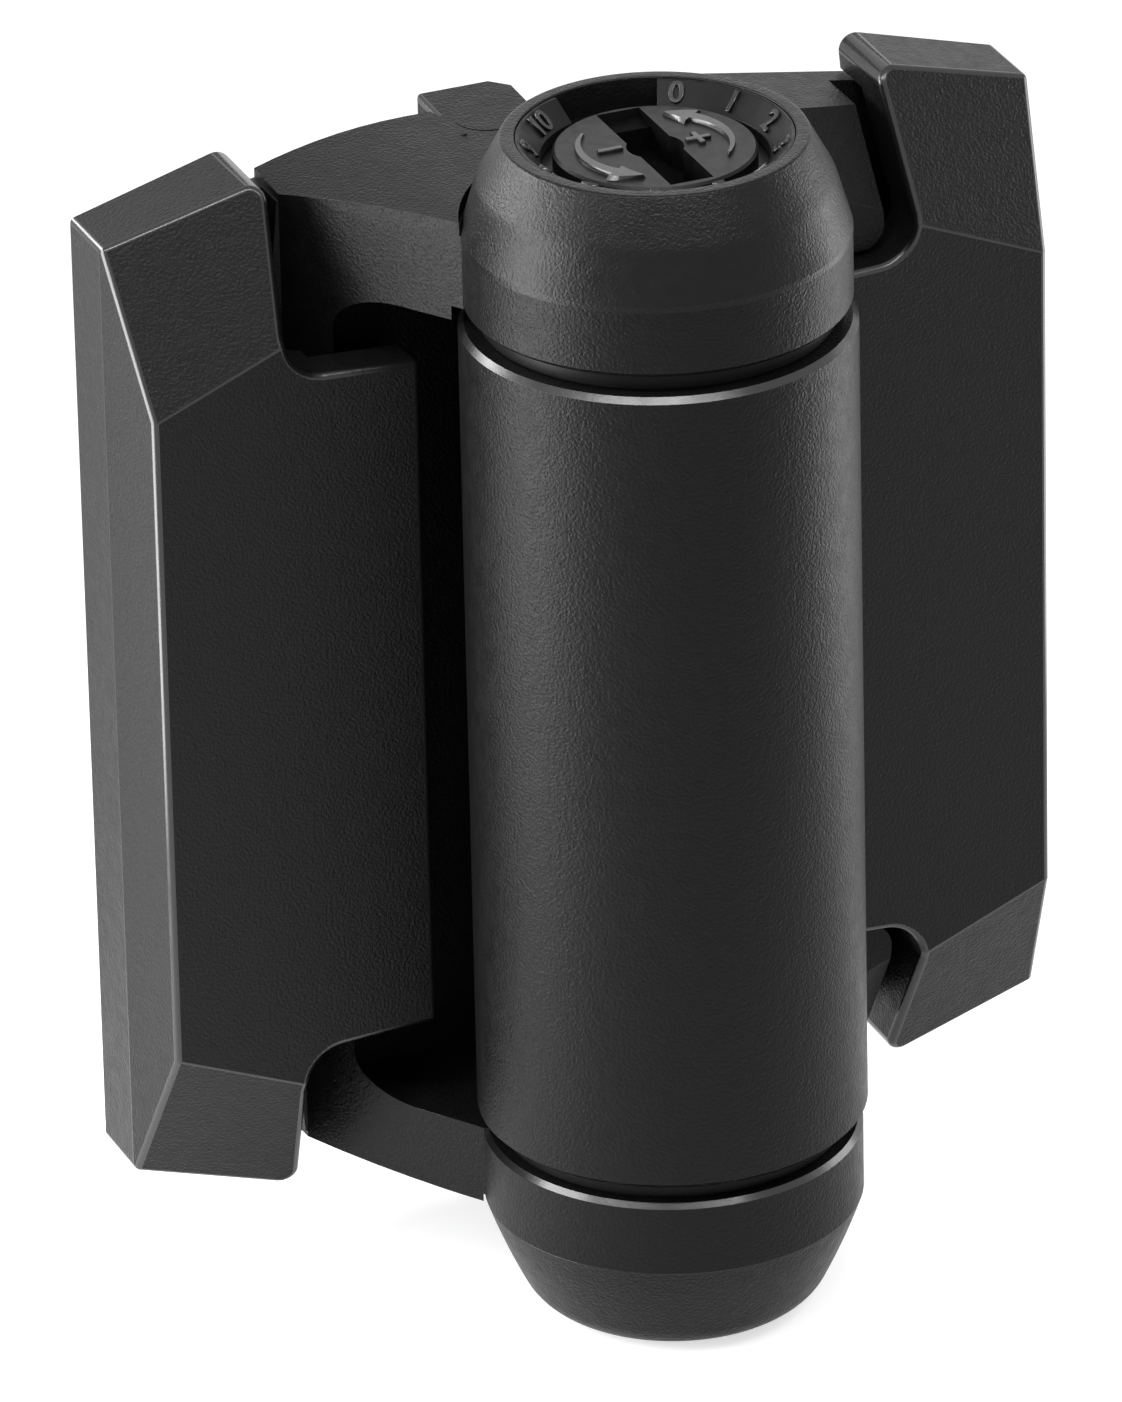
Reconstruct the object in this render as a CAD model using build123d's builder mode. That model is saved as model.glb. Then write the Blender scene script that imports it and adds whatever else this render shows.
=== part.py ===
from build123d import *
import os
from math import cos, radians, sin, tan

# Self-closing gate hinge, in millimetres.
# The pivot runs along Z through the origin, at half the barrel's height.
# The post leaf lies towards -X and the gate leaf towards +X. Post and gate are at +Y.

os.makedirs("parts", exist_ok=True)

# Barrel and knuckles
barrel_radius = 23.5
barrel_height = 103.5
barrel_bore_radius = 17.5
barrel_edge_chamfer = 0.7
knuckle_edge_chamfer = 0.6
seam_gap = 2.35
knuckle_radius = 22.9
upper_knuckle_height = 9.1
lower_knuckle_height = 9.3
knuckle_pocket_radius = 19.25
upper_floor_thickness = 3.9
lower_floor_thickness = 6.9

# Caps
cap_height = 11.8
cap_rim_radius = 18.05
cap_bulge = 0.6
cap_spigot_bore = 15.6
lower_cap_height = 13.6
lower_cap_slope = 0.44
lower_cap_bulge = 0.3
lower_cap_round = 6.0
lower_cap_wall = 2.6

# Leaves
mount_offset = 36.0
plate_thickness = 7.6
plate_inner_x = 12.1
plate_inner_drop = 0.1
plate_top_slope = 0.169
plate_corner_radius = 3.0
pad_front_y = 21.8
pad_inner_x = 24.5
pad_outer_x = 37.6
pad_drop = 1.8
pad_corner_radius = 1.0
arm_rise = 2.8
arm_flat_x = 17.0
arm_end_drop = 3.0
arm_reach_x = 36.2
arm_side_angle = 56.8
arm_end_angle = 17.0
arm_back_angle = 62.0
upper_arm_overhang = 1.8
upper_arm_fall_angle = 2.0
lower_arm_fall_angle = 3.2
arm_band_height = 3.7
arm_band_width = 0.5
arm_groove_radius = 23.1
arm_relief_radius = 24.2
gusset_inner_x = 32.2
gusset_radius = 5.2
web_left_x = 5.0
web_right_angle = 40.0
web_pad_lap = 2.0
web_tongue_gap = 0.8
web_core_wall = 1.25
core_depth = 9.5
core_width = 11.5
core_height = 16.0
core_pitch = 19.0
core_corner_radius = 1.5
notch_gap = 2.9
notch_block_sink = 3.2
notch_block_rise = 1.5
notch_block_radius = 3.0
trench_depth = 4.6

# Screw holes through the leaves
screw_hole_radius = 3.3
screw_head_radius = 6.6
screw_seat_depth = 2.6
screw_columns = 20.0
screw_centre_x = 40.0
screw_rows = 72.0

# Covers
cover_outer_x = 59.5
cover_front_y = 16.3
cover_rise = 0.7
cover_shoulder_x = 38.9
cover_corner_drop = 5.8
cover_crease_x = 40.5
cover_crease_drop = 17.85
cover_notch_x = 40.85
cover_notch_drop = 22.0
cover_notch_radius = 5.0
cover_tongue_x = 23.6
cover_tongue_drop = 22.9
cover_shoulder_y = 24.8
cover_corner_y = 26.1
cover_side_y = 26.7
cover_side_front_x = 57.3
cover_wall = 2.2
cover_edge_round = 0.8
cover_shoulder_round = 2.0
cover_tongue_depth = 5.2
cover_notch_depth = 7.3
snap_y = 32.0
snap_thickness = 1.2
snap_length = 14.0
snap_pitch = 60.0
snap_reach = 0.9

# Alignment legs
leg_gap = 4.2
leg_overlap = 1.4
leg_rebate_depth = 1.6
leg_projection = 5.0
leg_chamfer = 2.1
leg_front_radius = 4.0
leg_edge_round = 0.7
gate_leg_drop = 2.5

# Tension adjuster
dial_radius = 12.0
dial_sink = 1.7
dial_flange_radius = 14.5
dial_flange_thickness = 1.6
dial_travel = 2.0
dial_edge_chamfer = 0.3
dial_hole_clearance = 0.35
slot_width = 5.4
slot_length = 18.4
slot_offset = 1.7
slot_depth = 4.0
slot_centre_radius = 3.4
slot_ledge_depth = 1.0
slot_rim = 0.8
face_ring_inner = 13.4
face_ring_outer = 16.35
face_ring_ledge = 0.6
face_ring_lip = 0.4
face_ring_sink = 0.2
face_ring_fall = 2.5
face_ring_height = 3.8
window_start = 66.0
window_end = 113.0
indicator_outer = 15.4
indicator_thickness = 0.8
indicator_groove = 0.6
lock_ring_outer = 15.5
lock_ring_thickness = 1.5
lock_tooth_height = 1.0
lock_tooth_width = 1.6
lock_tooth_length = 2.1
lock_tooth_gap = 0.2
lock_teeth = 12
cap_web_thickness = 1.4
hex_flats = 13.8
hex_height = 5.7
socket_depth = 6.3

# Pivots, bushes and springs
driver_radius = 12.0
driver_flange_radius = 15.5
driver_flange_thickness = 7.5
driver_bore_radius = 4.5
driver_bore_depth = 10.8
hub_radius = 9.6
hub_length = 7.0
clip_groove_radius = 10.6
clip_outer_radius = 14.0
clip_thickness = 1.0
clip_mouth_angle = 60.0
bush_flange_radius = 21.0
bush_length = 10.0
upper_bush_gap = 0.2
pin_radius = 8.0
pin_head_radius = 11.0
pin_head_height = 2.2
pin_length = 30.0
pin_point_chamfer = 1.0
pin_boss_radius = 9.0
lower_bush_radius = 11.0
lower_bush_length = 12.5
anchor_length = 36.0
anchor_key_width = 4.0
anchor_key_height = 1.5
torsion_wire = 4.4
torsion_radius = 13.0
torsion_turns = 9
tang_length = 6.0
dial_spring_wire = 0.9
dial_spring_radius = 3.4
dial_spring_turns = 4

# Cap screws
cap_screw_circle_radius = 17.4
cap_screw_count = 3
cap_screw_radius = 1.25
cap_screw_head_radius = 2.3
cap_screw_head_height = 1.9
cap_screw_grip_length = 5.0

# Clearances
running_clearance = 0.05
fit_clearance = 0.05
cover_clearance = 0.3
axial_clearance = 0.3
seat_gap = 0.1

# How far a cut runs past the surface that it opens
overrun = 1.0

# Heights and depths that follow from the sizes above
barrel_top = barrel_height / 2
knuckle_face = barrel_top + seam_gap
upper_shoulder = knuckle_face + upper_knuckle_height
lower_shoulder = -(knuckle_face + lower_knuckle_height)
cap_top = upper_shoulder + cap_height
upper_floor_top = knuckle_face + upper_floor_thickness
lower_floor_bottom = -(knuckle_face + lower_floor_thickness)
leaf_top = upper_shoulder + arm_rise
plate_front_y = mount_offset - plate_thickness
front_of_legs = plate_front_y - cover_clearance
trench_floor_y = plate_front_y + trench_depth
cover_shoulder_half_height = leaf_top + cover_rise
cover_outer_half_height = cover_shoulder_half_height - cover_corner_drop
cover_crease_half_height = cover_shoulder_half_height - cover_crease_drop
cover_notch_half_height = cover_shoulder_half_height - cover_notch_drop
cover_tongue_half_height = cover_shoulder_half_height - cover_tongue_drop
pad_half_height = cover_tongue_half_height - pad_drop
dial_top = cap_top - dial_sink
face_ring_bottom = cap_top - face_ring_sink - face_ring_height
indicator_bottom = face_ring_bottom - seat_gap - indicator_thickness
chamber_floor = indicator_bottom - dial_travel - seat_gap
web_bottom = chamber_floor - cap_web_thickness
lock_teeth_bottom = web_bottom - lock_ring_thickness - lock_tooth_height
dial_flange_top = lock_teeth_bottom - lock_tooth_gap - lock_tooth_height
dial_bottom = dial_flange_top - dial_flange_thickness
clip_bottom = upper_floor_top + seat_gap
hex_bottom = clip_bottom + clip_thickness
driver_top = hex_bottom + hex_height
driver_flange_top = barrel_top - bush_length - axial_clearance
driver_flange_bottom = driver_flange_top - driver_flange_thickness
anchor_top = -barrel_top + anchor_length


def plate_half_height(x):
    """Half height of a leaf plate's sloping top edge at a distance from the axis."""
    return leaf_top - plate_inner_drop - plate_top_slope * (x - plate_inner_x)


def notch_line_x(z):
    """Distance from the axis of the cover's leaning notch edge at a height."""
    lean = (cover_notch_x - cover_shoulder_x) / (
        cover_shoulder_half_height - cover_notch_half_height
    )
    return cover_notch_x - lean * (z - cover_notch_half_height)


def plate_step_x():
    """Distance from the axis at which a plate steps up to fill the cover beside the notch wall."""
    return notch_line_x(cover_tongue_half_height) + cover_wall + cover_clearance


def cover_outline(inset):
    """Upper half of the cover's outline as (x, z) points, with each edge moved in by an inset."""
    slope = (cover_shoulder_half_height - cover_outer_half_height) / (
        cover_outer_x - cover_shoulder_x
    )
    shoulder_z = cover_shoulder_half_height - slope * inset - inset
    notch_z = cover_notch_half_height - inset
    return [
        (cover_outer_x - inset, 0),
        (cover_outer_x - inset, cover_outer_half_height + slope * inset - inset),
        (notch_line_x(shoulder_z) + inset, shoulder_z),
        (notch_line_x(notch_z) + inset, notch_z),
        (cover_tongue_x + inset, cover_tongue_half_height - inset),
        (cover_tongue_x + inset, 0),
    ]


def facet_normal():
    """Outward normal of the cover's upper sloping facet."""
    crease = Vector(cover_crease_x, cover_front_y, cover_crease_half_height)
    shoulder = Vector(cover_shoulder_x, cover_shoulder_y, cover_shoulder_half_height)
    corner = Vector(cover_outer_x, cover_corner_y, cover_outer_half_height)
    return (crease - shoulder).cross(corner - shoulder).normalized()


def facet_plane(depth):
    """Plane parallel to the cover's upper sloping facet, at a depth behind it along Y."""
    origin = (cover_crease_x, cover_front_y + depth, cover_crease_half_height)
    return Plane(origin=origin, z_dir=facet_normal())


def half_section(*outline):
    """Closed outline of (radius, height) points, drawn beside the pivot for a revolve."""
    with BuildSketch(Plane.XZ) as section:
        with BuildLine():
            Polyline(*outline, close=True)
        make_face()
    return section.sketch


def leaf_plate(side):
    """One leaf's plate with its raised pad, before its openings are cut; side is -1 or 1."""
    rim = cover_outline(cover_wall + cover_clearance)
    step_x = plate_step_x()
    rim_slope = (rim[2][1] - rim[1][1]) / (rim[1][0] - rim[2][0])
    half = [
        (plate_inner_x, plate_half_height(plate_inner_x)),
        (step_x, plate_half_height(step_x)),
        (step_x, rim[2][1] - rim_slope * (step_x - rim[2][0])),
        rim[1],
    ]
    with BuildPart() as plate:
        with BuildSketch(Plane.XZ.offset(-mount_offset)) as outline:
            with BuildLine():
                Polyline(
                    *[(side * x, z) for x, z in half],
                    *[(side * x, -z) for x, z in reversed(half)],
                    close=True,
                )
            make_face()
            outer_corners = outline.vertices().group_by(Axis.X)[-1 if side > 0 else 0]
            fillet(outer_corners, plate_corner_radius)
        extrude(amount=plate_thickness)
        with BuildSketch(Plane.XZ.offset(-plate_front_y)):
            with Locations((side * (pad_inner_x + pad_outer_x) / 2, 0)):
                RectangleRounded(pad_outer_x - pad_inner_x, 2 * pad_half_height, pad_corner_radius)
        extrude(amount=plate_front_y - pad_front_y)
    return plate.part


def leaf_openings(side):
    """Everything cut from one leaf: cores, screw holes, cover trenches, snap grooves, leg rebate."""
    trench = [
        (notch_line_x(cover_tongue_half_height) - notch_gap, cover_tongue_half_height),
        (plate_step_x(), cover_tongue_half_height),
        (plate_step_x(), cover_shoulder_half_height),
        (notch_line_x(cover_shoulder_half_height) - notch_gap, cover_shoulder_half_height),
    ]
    with BuildPart() as openings:
        with BuildSketch(Plane.XZ.offset(-mount_offset)):
            with Locations((side * (pad_inner_x + pad_outer_x) / 2, 0)):
                with GridLocations(1, core_pitch, 1, 3):
                    RectangleRounded(core_width, core_height, core_corner_radius)
        extrude(amount=core_depth)
        seat_y = plate_front_y + screw_seat_depth
        with BuildSketch(Plane.XZ.offset(-seat_y)):
            with Locations((side * screw_centre_x, 0)):
                with GridLocations(screw_columns, screw_rows, 2, 2):
                    Circle(screw_head_radius)
        extrude(amount=seat_y - cover_front_y)
        with BuildSketch(Plane.XZ.offset(-mount_offset)):
            with Locations((side * screw_centre_x, 0)):
                with GridLocations(screw_columns, screw_rows, 2, 2):
                    Circle(screw_hole_radius)
        extrude(amount=plate_thickness)
        for up in (-1, 1):
            with BuildSketch(Plane.XZ.offset(-trench_floor_y)):
                with BuildLine():
                    Polyline(*[(side * x, up * z) for x, z in trench], close=True)
                make_face()
            extrude(amount=trench_depth)
        groove_x = cover_outer_x - cover_wall - cover_clearance
        with BuildSketch(Plane.XZ.offset(-(snap_y + snap_thickness / 2 + cover_clearance))):
            with Locations((side * groove_x, 0)):
                with GridLocations(1, snap_pitch, 1, 2):
                    Rectangle(2 * snap_reach, snap_length + 2 * cover_clearance)
        extrude(amount=snap_thickness + 2 * cover_clearance)
        rebate_width = overrun + leg_overlap + fit_clearance
        with BuildSketch(Plane.XZ.offset(-mount_offset)):
            with Locations((side * (plate_inner_x - overrun + rebate_width / 2), 0)):
                Rectangle(rebate_width, 2 * leaf_top + overrun)
        extrude(amount=leg_rebate_depth)
    return openings.part


def arm(overhang, fall_angle, banded):
    """Upper arm of the post leaf: a falling top, a rounded gusset and, if banded, a side band."""
    end_x = -knuckle_radius * cos(radians(arm_end_angle))
    end_y = plate_front_y - tan(radians(arm_side_angle)) * (end_x + arm_reach_x)
    back_x = knuckle_radius * cos(radians(arm_back_angle))
    back_y = knuckle_radius * sin(radians(arm_back_angle))
    underside = knuckle_face - overhang
    fall = radians(fall_angle)
    with BuildPart() as form:
        with BuildSketch(Plane.XY) as plan:
            with BuildLine():
                Polyline(
                    (-arm_reach_x, mount_offset),
                    (-arm_reach_x, plate_front_y),
                    (end_x, end_y),
                    (0, 0),
                    (back_x, back_y),
                    (0, front_of_legs),
                    (-plate_inner_x, front_of_legs),
                    (-plate_inner_x, mount_offset),
                    close=True,
                )
            make_face()
            leg_corner = plan.vertices().sort_by_distance((-plate_inner_x, front_of_legs, 0))[0]
            fillet(leg_corner, leg_front_radius)
        extrude(amount=2 * leaf_top)
        with BuildSketch(Plane.XZ.offset(-2 * mount_offset)):
            with BuildLine():
                Polyline(
                    (-gusset_inner_x, underside - gusset_radius),
                    (-gusset_inner_x, 0),
                    (-arm_reach_x - overrun, 0),
                    (-arm_reach_x - overrun, 2 * leaf_top),
                    (2 * knuckle_radius, 2 * leaf_top),
                    (2 * knuckle_radius, underside),
                    (gusset_radius - gusset_inner_x, underside),
                )
                TangentArc(
                    (gusset_radius - gusset_inner_x, underside),
                    (-gusset_inner_x, underside - gusset_radius),
                    tangent=(-1, 0),
                )
            make_face()
        extrude(amount=4 * mount_offset, mode=Mode.INTERSECT)
        top = Plane(
            origin=(0, mount_offset, leaf_top), x_dir=(1, 0, 0), z_dir=(0, -cos(fall), -sin(fall))
        )
        with BuildSketch(top):
            with BuildLine():
                TangentArc((-arm_flat_x, 0), (-arm_reach_x, -arm_end_drop), tangent=(-1, 0))
                Polyline(
                    (-arm_reach_x, -arm_end_drop),
                    (-arm_reach_x - overrun, -arm_end_drop),
                    (-arm_reach_x - overrun, 2 * leaf_top),
                    (2 * knuckle_radius, 2 * leaf_top),
                    (2 * knuckle_radius, 0),
                    (-arm_flat_x, 0),
                )
            make_face()
        extrude(amount=2 * mount_offset, both=True, mode=Mode.SUBTRACT)
        with BuildSketch(Plane.XY.offset(upper_shoulder)):
            Circle(arm_groove_radius)
        extrude(amount=cap_height, mode=Mode.SUBTRACT)
        with BuildSketch(Plane.XY):
            Circle(arm_relief_radius)
        extrude(amount=knuckle_face, mode=Mode.SUBTRACT)
        if banded:
            top_z = leaf_top - tan(fall) * (mount_offset - end_y)
            start = Vector(-arm_reach_x, plate_front_y, leaf_top - arm_end_drop)
            low = Vector(end_x, end_y, top_z - arm_band_height) - start
            high = Vector(end_x + arm_band_width, end_y, top_z) - start
            split(bisect_by=Plane(origin=start, z_dir=low.cross(high)), keep=Keep.BOTTOM)
    return form.part


def knuckle(face, floor_end, shoulder):
    """An end knuckle: a floor that carries the pivot and a pocket that takes the cap's spigot."""
    outward = 1 if shoulder > face else -1
    edge = face + outward * knuckle_edge_chamfer
    with BuildPart() as ring:
        revolve(
            half_section(
                (0, face),
                (knuckle_radius - knuckle_edge_chamfer, face),
                (knuckle_radius, edge),
                (knuckle_radius, shoulder),
                (knuckle_pocket_radius, shoulder),
                (knuckle_pocket_radius, floor_end),
                (0, floor_end),
            ),
            axis=Axis.Z,
        )
    return ring.part


def cover_form(inset, back_y):
    """The cover's faceted block with every face moved in by an inset."""
    half = cover_outline(inset)
    normal = facet_normal()
    side_normal = Vector(cover_side_y - cover_front_y, cover_side_front_x - cover_outer_x, 0)
    side_normal = side_normal.normalized()
    with BuildPart() as form:
        with BuildSketch(Plane.XZ.offset(-back_y)) as outline:
            with BuildLine():
                Polyline(*half, *[(x, -z) for x, z in reversed(half[1:-1])], close=True)
            make_face()
            notch_corners = outline.vertices().filter_by_position(
                Axis.X, half[3][0] - fit_clearance, half[3][0] + fit_clearance
            )
            fillet(notch_corners, cover_notch_radius + inset)
            if inset < cover_shoulder_round:
                shoulders = outline.vertices().filter_by_position(
                    Axis.X, half[2][0] - fit_clearance, half[2][0] + fit_clearance
                )
                fillet(shoulders, cover_shoulder_round - inset)
        extrude(amount=back_y - cover_front_y - inset)
        upper = facet_plane(-inset / normal.Y)
        split(bisect_by=upper, keep=Keep.BOTTOM)
        lower = Plane(
            origin=(upper.origin.X, upper.origin.Y, -upper.origin.Z),
            z_dir=(normal.X, normal.Y, -normal.Z),
        )
        split(bisect_by=lower, keep=Keep.BOTTOM)
        side_origin = Vector(cover_side_front_x, cover_front_y, 0) - side_normal * inset
        split(bisect_by=Plane(origin=side_origin, z_dir=side_normal), keep=Keep.BOTTOM)
    return form.part


def notch_block():
    """Block on the gate leaf that fills the cover's upper notch and follows the cover's slope."""
    bottom = cover_tongue_half_height + notch_block_rise
    outer_x = notch_line_x(plate_half_height(pad_outer_x)) - notch_gap
    front_y = cover_front_y + notch_block_sink
    with BuildPart() as block:
        with BuildSketch(Plane.XZ.offset(-plate_front_y)) as outline:
            with BuildLine():
                Polyline(
                    (pad_inner_x, bottom),
                    (notch_line_x(bottom) - notch_gap, bottom),
                    (outer_x, plate_half_height(outer_x)),
                    (pad_inner_x, plate_half_height(pad_inner_x)),
                    close=True,
                )
            make_face()
            corner = outline.vertices().sort_by_distance((notch_line_x(bottom), bottom, 0))[0]
            fillet(corner, notch_block_radius)
        extrude(amount=plate_front_y - front_y)
        split(bisect_by=facet_plane(notch_block_sink), keep=Keep.BOTTOM)
    return block.part


def alignment_leg(side, half_height):
    """Bar at a leaf's inner edge that laps into the leaf's rebate and stands proud behind it."""
    far = leg_gap / 2
    inner = plate_inner_x - fit_clearance
    outer = plate_inner_x + leg_overlap
    front = mount_offset - leg_rebate_depth + fit_clearance
    back = mount_offset + leg_projection
    fall = radians(upper_arm_fall_angle)
    with BuildPart() as leg:
        with BuildSketch(Plane.XY.offset(-half_height - overrun)) as plan:
            with BuildLine():
                Polyline(
                    (side * far, plate_front_y),
                    (side * inner, plate_front_y),
                    (side * inner, front),
                    (side * outer, front),
                    (side * outer, back),
                    (side * (far + leg_chamfer), back),
                    (side * far, back - leg_chamfer),
                    close=True,
                )
            make_face()
            corner = plan.vertices().sort_by_distance((side * inner, plate_front_y, 0))[0]
            fillet(corner, leg_front_radius)
        extrude(amount=2 * (half_height + overrun))
        for up in (-1, 1):
            end = Plane(origin=(0, mount_offset, up * half_height), z_dir=(0, -sin(fall), up * cos(fall)))
            split(bisect_by=end, keep=Keep.BOTTOM)
        outer_face = leg.faces().sort_by(Axis.X)[0 if side < 0 else -1]
        fillet(outer_face.edges().sort_by(Axis.Y)[1:], leg_edge_round)
    return leg.part


def coil(radius, wire, bottom, top, turns, start_tang, end_tang):
    """Square-wire helical spring with straight axial tangs; heights are the wire's outer faces."""
    low = bottom + wire / 2
    high = top - wire / 2
    with BuildPart() as spring:
        with BuildLine() as path:
            Helix(pitch=(high - low) / turns, height=high - low, radius=radius, center=(0, 0, low))
        start = path.line
        with BuildSketch(Plane(origin=start @ 0, x_dir=(1, 0, 0), z_dir=start % 0)):
            Rectangle(wire, wire)
        sweep(path=start, is_frenet=True)
        if start_tang:
            with BuildSketch(Plane.XY.offset(bottom - start_tang)):
                with Locations((radius, 0)):
                    Rectangle(wire, wire)
            extrude(amount=start_tang + wire / 2)
            with BuildSketch(Plane.XY.offset(high)):
                with Locations((radius, 0)):
                    Rectangle(wire, wire)
            extrude(amount=end_tang + wire / 2)
    return spring.part


def cap_screws(seat_z, direction):
    """Three screws from a seam into a cap; direction is 1 upwards or -1 downwards."""
    floor = upper_floor_thickness if direction > 0 else lower_floor_thickness
    length = floor - cap_screw_head_height + cap_screw_grip_length
    with BuildPart() as screws:
        with BuildSketch(Plane.XY.offset(seat_z)):
            with PolarLocations(cap_screw_circle_radius, cap_screw_count, start_angle=90):
                Circle(cap_screw_head_radius)
        extrude(amount=direction * (cap_screw_head_height - fit_clearance))
        with BuildSketch(Plane.XY.offset(seat_z + direction * cap_screw_head_height / 2)):
            with PolarLocations(cap_screw_circle_radius, cap_screw_count, start_angle=90):
                Circle(cap_screw_radius)
        extrude(amount=direction * (length + cap_screw_head_height / 2))
    return screws.part


def cap_screw_holes(seat_z, direction, depth):
    """The holes that take the cap screws, for the knuckle's floor and the cap's spigot."""
    with BuildPart() as holes:
        with BuildSketch(Plane.XY.offset(seat_z)):
            with PolarLocations(cap_screw_circle_radius, cap_screw_count, start_angle=90):
                Circle(cap_screw_head_radius + fit_clearance)
        extrude(amount=direction * cap_screw_head_height)
        with BuildSketch(Plane.XY.offset(seat_z)):
            with PolarLocations(cap_screw_circle_radius, cap_screw_count, start_angle=90):
                Circle(cap_screw_radius + fit_clearance)
        extrude(amount=direction * depth)
    return holes.part


# Post leaf
with BuildPart() as post_leaf:
    add(leaf_plate(-1))
    add(arm(upper_arm_overhang, upper_arm_fall_angle, True))
    mirror(arm(0, lower_arm_fall_angle, False), about=Plane.XY)
    add(leaf_openings(-1), mode=Mode.SUBTRACT)
    add(knuckle(knuckle_face, upper_floor_top, upper_shoulder))
    add(knuckle(-knuckle_face, lower_floor_bottom, lower_shoulder))
    with BuildSketch(Plane.XY.offset(upper_floor_top)):
        Circle(knuckle_pocket_radius)
    extrude(amount=cap_height, mode=Mode.SUBTRACT)
    with BuildSketch(Plane.XY.offset(lower_floor_bottom)):
        Circle(knuckle_pocket_radius)
    extrude(amount=-cap_height, mode=Mode.SUBTRACT)
    with BuildSketch(Plane.XY.offset(knuckle_face)):
        Circle(driver_radius + running_clearance)
    extrude(amount=upper_floor_thickness, mode=Mode.SUBTRACT)
    with BuildSketch(Plane.XY.offset(-knuckle_face)):
        Circle(pin_radius + running_clearance)
    extrude(amount=-lower_floor_thickness, mode=Mode.SUBTRACT)
    add(cap_screw_holes(knuckle_face, 1, upper_floor_thickness), mode=Mode.SUBTRACT)
    add(cap_screw_holes(-knuckle_face, -1, lower_floor_thickness), mode=Mode.SUBTRACT)
post_leaf.part.label = "post_leaf"
export_step(post_leaf.part, "parts/post_leaf.step")

# Gate leaf
with BuildPart() as gate_leaf:
    add(leaf_plate(1))
    with BuildSketch(Plane.XY) as web_plan:
        with BuildLine():
            Polyline(
                (web_left_x, 0),
                (web_left_x, front_of_legs),
                (plate_inner_x, front_of_legs),
                (plate_inner_x, mount_offset),
                (pad_inner_x + web_pad_lap, mount_offset),
                (pad_inner_x + web_pad_lap, pad_front_y),
                (cover_tongue_x - web_tongue_gap, pad_front_y),
                (
                    barrel_radius * cos(radians(web_right_angle)),
                    barrel_radius * sin(radians(web_right_angle)),
                ),
                close=True,
            )
        make_face()
        leg_corner = web_plan.vertices().sort_by_distance((plate_inner_x, front_of_legs, 0))[0]
        fillet(leg_corner, leg_front_radius)
    extrude(amount=pad_half_height, both=True)
    add(notch_block())
    mirror(notch_block(), about=Plane.XY)
    add(leaf_openings(1), mode=Mode.SUBTRACT)
    web_core_width = pad_inner_x - plate_inner_x - leg_overlap - 2 * web_core_wall
    with BuildSketch(Plane.XZ.offset(-mount_offset)):
        with Locations(((plate_inner_x + leg_overlap + pad_inner_x) / 2, 0)):
            with GridLocations(1, core_pitch, 1, 3):
                RectangleRounded(web_core_width, core_height, core_corner_radius)
    extrude(amount=core_depth, mode=Mode.SUBTRACT)
    revolve(
        half_section(
            (0, -barrel_top),
            (barrel_radius - barrel_edge_chamfer, -barrel_top),
            (barrel_radius, -barrel_top + barrel_edge_chamfer),
            (barrel_radius, barrel_top - barrel_edge_chamfer),
            (barrel_radius - barrel_edge_chamfer, barrel_top),
            (0, barrel_top),
        ),
        axis=Axis.Z,
    )
    with BuildSketch(Plane.XY):
        Circle(barrel_bore_radius)
    extrude(amount=barrel_top, both=True, mode=Mode.SUBTRACT)
    with BuildSketch(Plane.XY.offset(-barrel_top)):
        key_reach = 2 * (barrel_bore_radius + anchor_key_height)
        Rectangle(key_reach, anchor_key_width)
        Circle(barrel_bore_radius, mode=Mode.SUBTRACT)
    extrude(amount=anchor_length, mode=Mode.SUBTRACT)
gate_leaf.part.label = "gate_leaf"
export_step(gate_leaf.part, "parts/gate_leaf.step")

# Covers
def notch_clearance():
    """Space behind the upper notch wall of a cover, which leaves the wall its depth."""
    width = cover_notch_x + 2 * cover_wall - cover_tongue_x + overrun
    top = plate_half_height(cover_shoulder_x) + cover_clearance
    with BuildPart() as space:
        with BuildSketch(Plane.XZ.offset(-mount_offset)):
            with Locations((cover_tongue_x - overrun, 0)):
                Rectangle(width, top, align=(Align.MIN, Align.MIN))
        extrude(amount=mount_offset - cover_front_y - cover_notch_depth)
        split(bisect_by=facet_plane(cover_notch_depth), keep=Keep.BOTTOM)
    return space.part


with BuildPart() as gate_cover:
    add(cover_form(0, mount_offset))
    back_edges = gate_cover.edges().group_by(Axis.Y)[-1]
    fillet(gate_cover.edges() - back_edges, cover_edge_round)
    add(cover_form(cover_wall, mount_offset + overrun), mode=Mode.SUBTRACT)
    tongue_back_y = cover_front_y + cover_tongue_depth
    tongue_cut = cover_notch_x - cover_notch_radius - cover_tongue_x + overrun
    with BuildSketch(Plane.XZ.offset(-mount_offset)):
        with Locations((cover_tongue_x - overrun, 0)):
            align = (Align.MIN, Align.CENTER)
            Rectangle(tongue_cut, 2 * cover_shoulder_half_height, align=align)
    extrude(amount=mount_offset - tongue_back_y, mode=Mode.SUBTRACT)
    add(notch_clearance(), mode=Mode.SUBTRACT)
    mirror(notch_clearance(), about=Plane.XY, mode=Mode.SUBTRACT)
    snap_depth = snap_reach - cover_clearance + overrun
    with BuildSketch(Plane.XZ.offset(-snap_y - snap_thickness / 2)):
        with Locations((cover_outer_x - cover_wall - snap_reach + cover_clearance, 0)):
            with GridLocations(1, snap_pitch, 1, 2):
                Rectangle(snap_depth, snap_length, align=align)
    extrude(amount=snap_thickness)
gate_cover.part.label = "gate_cover"
export_step(gate_cover.part, "parts/gate_cover.step")

with BuildPart() as post_cover:
    mirror(gate_cover.part, about=Plane.YZ)
post_cover.part.label = "post_cover"
export_step(post_cover.part, "parts/post_cover.step")

# Alignment legs
for side, half_height, name in (
    (-1, leaf_top, "post_alignment_leg"),
    (1, leaf_top - gate_leg_drop, "gate_alignment_leg"),
):
    leg = alignment_leg(side, half_height)
    leg.label = name
    export_step(leg, "parts/" + name + ".step")

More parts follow.
